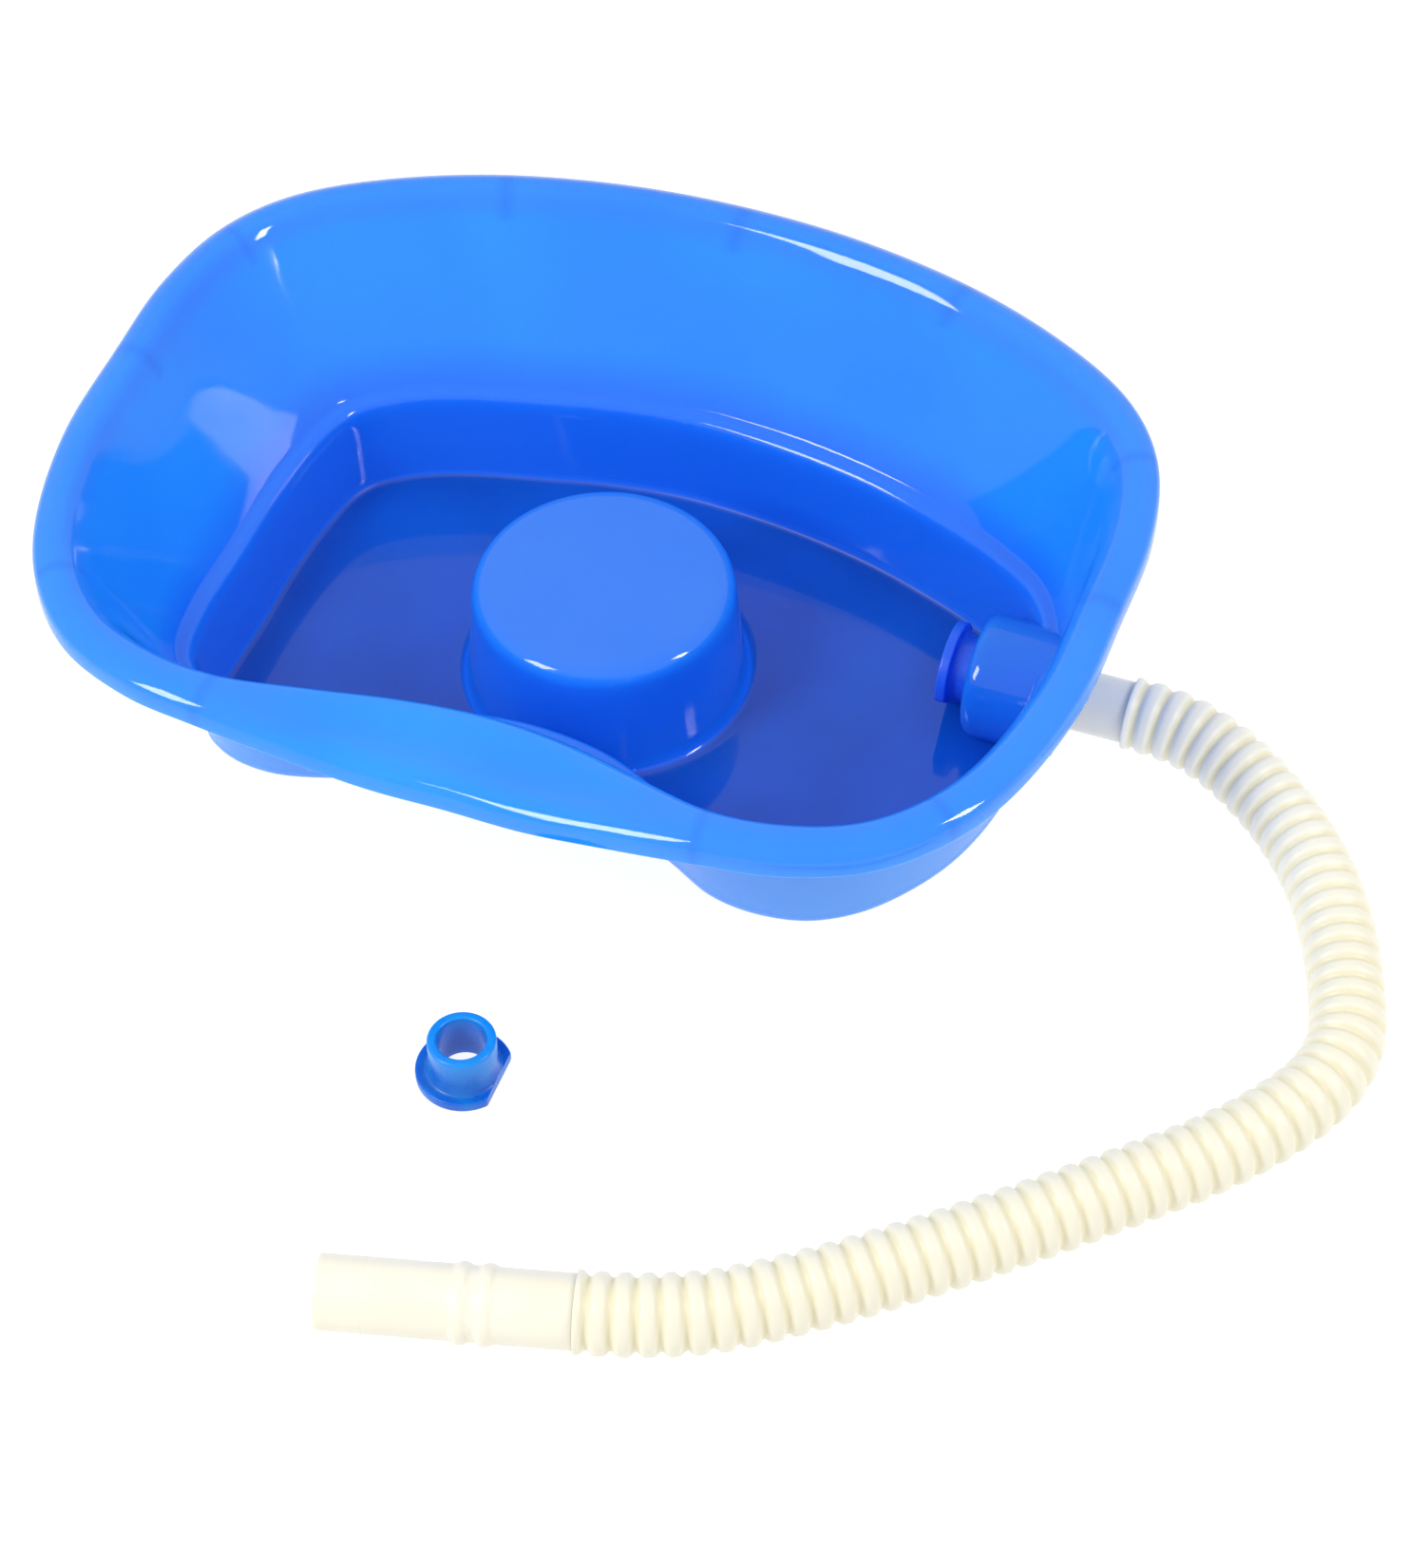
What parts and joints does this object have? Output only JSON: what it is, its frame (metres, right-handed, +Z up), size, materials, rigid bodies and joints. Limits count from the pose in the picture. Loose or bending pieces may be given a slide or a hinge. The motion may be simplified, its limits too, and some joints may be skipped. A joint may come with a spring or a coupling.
{
  "type": "bed shampoo basin with drain hose",
  "caption": "Hair-washing basin for a bed-bound person: dished neck rest, raised head support, rubber drain bush and a corrugated drain hose.",
  "frame": {"origin": "on the surface that the basin stands on, below the middle of the box round the basin and its two bushes, hose left out", "axes": "+X towards the drain end, -Y towards the neck rest and the loose bush, +Z up"},
  "size_m": [0.6638, 0.6056, 0.1321],
  "materials": {
    "basin": "glossy, slightly translucent blue polypropylene",
    "bush": "semi-gloss translucent blue rubber",
    "hose": "cream polyethylene, corrugated",
    "cuff": "cream polyethylene, smooth"
  },
  "bodies": {
    "basin": {"basin_shell": "basin"},
    "fitted_bush": {"drain_bush": "bush"},
    "loose_bush": {"spare_drain_bush": "bush"},
    "hose": {"hose_inlet_cuff": "cuff", "drain_hose": "hose", "hose_outlet_cuff": "cuff"}
  },
  "joints": [
    {"name": "bush_pull_out", "type": "slide", "parent": "basin", "child": "fitted_bush", "axis": [-1, 0, 0], "range_m": [0, 0.06]},
    {"name": "hose_pull_off", "type": "slide", "parent": "basin", "child": "hose", "axis": [1, 0, 0], "range_m": [0, 0.11]},
    {"name": "loose_bush_lift", "type": "slide", "parent": "basin", "child": "loose_bush", "axis": [0, 0, 1], "range_m": [0, 0.12]}
  ]
}
